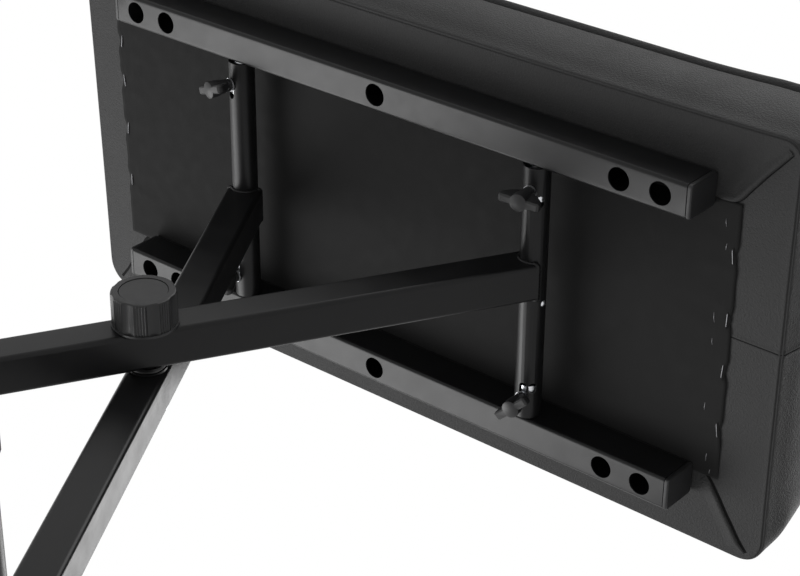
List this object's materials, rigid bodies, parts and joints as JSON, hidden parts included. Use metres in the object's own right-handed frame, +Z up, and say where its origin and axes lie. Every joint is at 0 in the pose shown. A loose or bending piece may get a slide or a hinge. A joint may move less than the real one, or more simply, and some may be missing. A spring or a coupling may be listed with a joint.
{
  "type": "folding keyboard bench",
  "caption": "Folding keyboard bench: padded seat on steel rails over crossed square-tube legs with a centre clamp knob and wing-screw lock pins.",
  "frame": {"origin": "on the floor under the middle of the seat", "axes": "+Z up, +X along the seat towards the end held by leg A, -Y towards the clamp knob"},
  "size_m": [0.6254, 0.3124, 0.6],
  "materials": {
    "frame_steel": "satin black powder coat",
    "zinc_steel": "bright zinc plate",
    "insert_brass": "plain brass",
    "black_plastic": "moulded, fine texture",
    "foot_rubber": "matte moulded rubber",
    "washer_nylon": "black nylon",
    "seat_leather": "fine grained synthetic leather",
    "dust_cloth": "black non-woven cloth",
    "board_wood": "bare plywood",
    "seat_foam": "open-cell seat foam"
  },
  "bodies": {
    "leg_frame_a": {"leg_a": "frame_steel", "top_tube_a": "frame_steel", "foot_tube_a": "frame_steel", "foot_cap_a_front": "foot_rubber", "foot_cap_a_back": "foot_rubber", "pivot_sleeve_a": "zinc_steel", "pivot_plate_a": "frame_steel", "friction_washer": "washer_nylon", "bolt_washer": "zinc_steel", "pivot_bolt": "zinc_steel", "tube_rivet": "zinc_steel"},
    "leg_frame_b": {"leg_b": "frame_steel", "top_tube_b": "frame_steel", "foot_tube_b": "frame_steel", "foot_cap_b_front": "foot_rubber", "foot_cap_b_back": "foot_rubber", "pivot_sleeve_b": "zinc_steel", "pivot_plate_b": "frame_steel"},
    "seat": {"seat_cover": "seat_leather", "seat_board": "board_wood", "seat_rail_front": "frame_steel", "rail_plug_front_left": "black_plastic", "seat_screw_front_left": "zinc_steel", "tee_nut_front_left": "zinc_steel", "rail_plug_front_right": "black_plastic", "seat_screw_front_right": "zinc_steel", "tee_nut_front_right": "zinc_steel", "seat_rail_back": "frame_steel", "rail_plug_back_left": "black_plastic", "seat_screw_back_left": "zinc_steel", "tee_nut_back_left": "zinc_steel", "rail_plug_back_right": "black_plastic", "seat_screw_back_right": "zinc_steel", "tee_nut_back_right": "zinc_steel", "foam_pad": "seat_foam", "dust_cover": "dust_cloth"},
    "clamp_knob": {"knob": "black_plastic", "knob_cap": "black_plastic", "knob_insert": "insert_brass"},
    "pin_a_front": {"lock_pin_a_front": "zinc_steel"},
    "wing_a_front": {"wing_stud_a_front": "zinc_steel", "wing_washer_a_front": "zinc_steel", "wing_handle_a_front": "black_plastic"},
    "pin_a_back": {"lock_pin_a_back": "zinc_steel"},
    "wing_a_back": {"wing_stud_a_back": "zinc_steel", "wing_washer_a_back": "zinc_steel", "wing_handle_a_back": "black_plastic"},
    "pin_b_front": {"lock_pin_b_front": "zinc_steel"},
    "wing_b_front": {"wing_stud_b_front": "zinc_steel", "wing_washer_b_front": "zinc_steel", "wing_handle_b_front": "black_plastic"},
    "pin_b_back": {"lock_pin_b_back": "zinc_steel"},
    "wing_b_back": {"wing_stud_b_back": "zinc_steel", "wing_washer_b_back": "zinc_steel", "wing_handle_b_back": "black_plastic"}
  },
  "joints": [
    {"name": "seat_swing", "type": "hinge", "parent": "leg_frame_a", "child": "seat", "pos_m": [0.132, 0, 0.50111], "axis": [0, -1, 0], "range_deg": [0, 54]},
    {"name": "leg_fold", "type": "hinge", "parent": "leg_frame_a", "child": "leg_frame_b", "pos_m": [0, 0, 0.27248], "axis": [0, -1, 0], "range_deg": [0, 108]},
    {"name": "knob_turn", "type": "hinge", "parent": "leg_frame_a", "child": "clamp_knob", "pos_m": [0, -0.0379, 0.27248], "axis": [0, -1, 0], "range_deg": [0, 540]},
    {"name": "pin_slide_a_front", "type": "slide", "parent": "leg_frame_a", "child": "pin_a_front", "axis": [0, 1, 0], "range_m": [0, 0.0085]},
    {"name": "wing_turn_a_front", "type": "hinge", "parent": "pin_a_front", "child": "wing_a_front", "pos_m": [0.132, -0.078, 0.50111], "axis": [0.1908, 0, -0.9816], "range_deg": [0, 360]},
    {"name": "pin_slide_a_back", "type": "slide", "parent": "leg_frame_a", "child": "pin_a_back", "axis": [0, -1, 0], "range_m": [0, 0.0085]},
    {"name": "wing_turn_a_back", "type": "hinge", "parent": "pin_a_back", "child": "wing_a_back", "pos_m": [0.132, 0.078, 0.50111], "axis": [0.1908, 0, -0.9816], "range_deg": [0, 360]},
    {"name": "pin_slide_b_front", "type": "slide", "parent": "leg_frame_b", "child": "pin_b_front", "axis": [0, 1, 0], "range_m": [0, 0.0085]},
    {"name": "wing_turn_b_front", "type": "hinge", "parent": "pin_b_front", "child": "wing_b_front", "pos_m": [-0.132, -0.078, 0.50111], "axis": [-0.2419, 0, -0.9703], "range_deg": [0, 360]},
    {"name": "pin_slide_b_back", "type": "slide", "parent": "leg_frame_b", "child": "pin_b_back", "axis": [0, -1, 0], "range_m": [0, 0.0085]},
    {"name": "wing_turn_b_back", "type": "hinge", "parent": "pin_b_back", "child": "wing_b_back", "pos_m": [-0.132, 0.078, 0.50111], "axis": [-0.2419, 0, -0.9703], "range_deg": [0, 360]}
  ],
  "couplings": [
    {"joint": "leg_fold", "follows": "seat_swing", "ratio": 2}
  ]
}
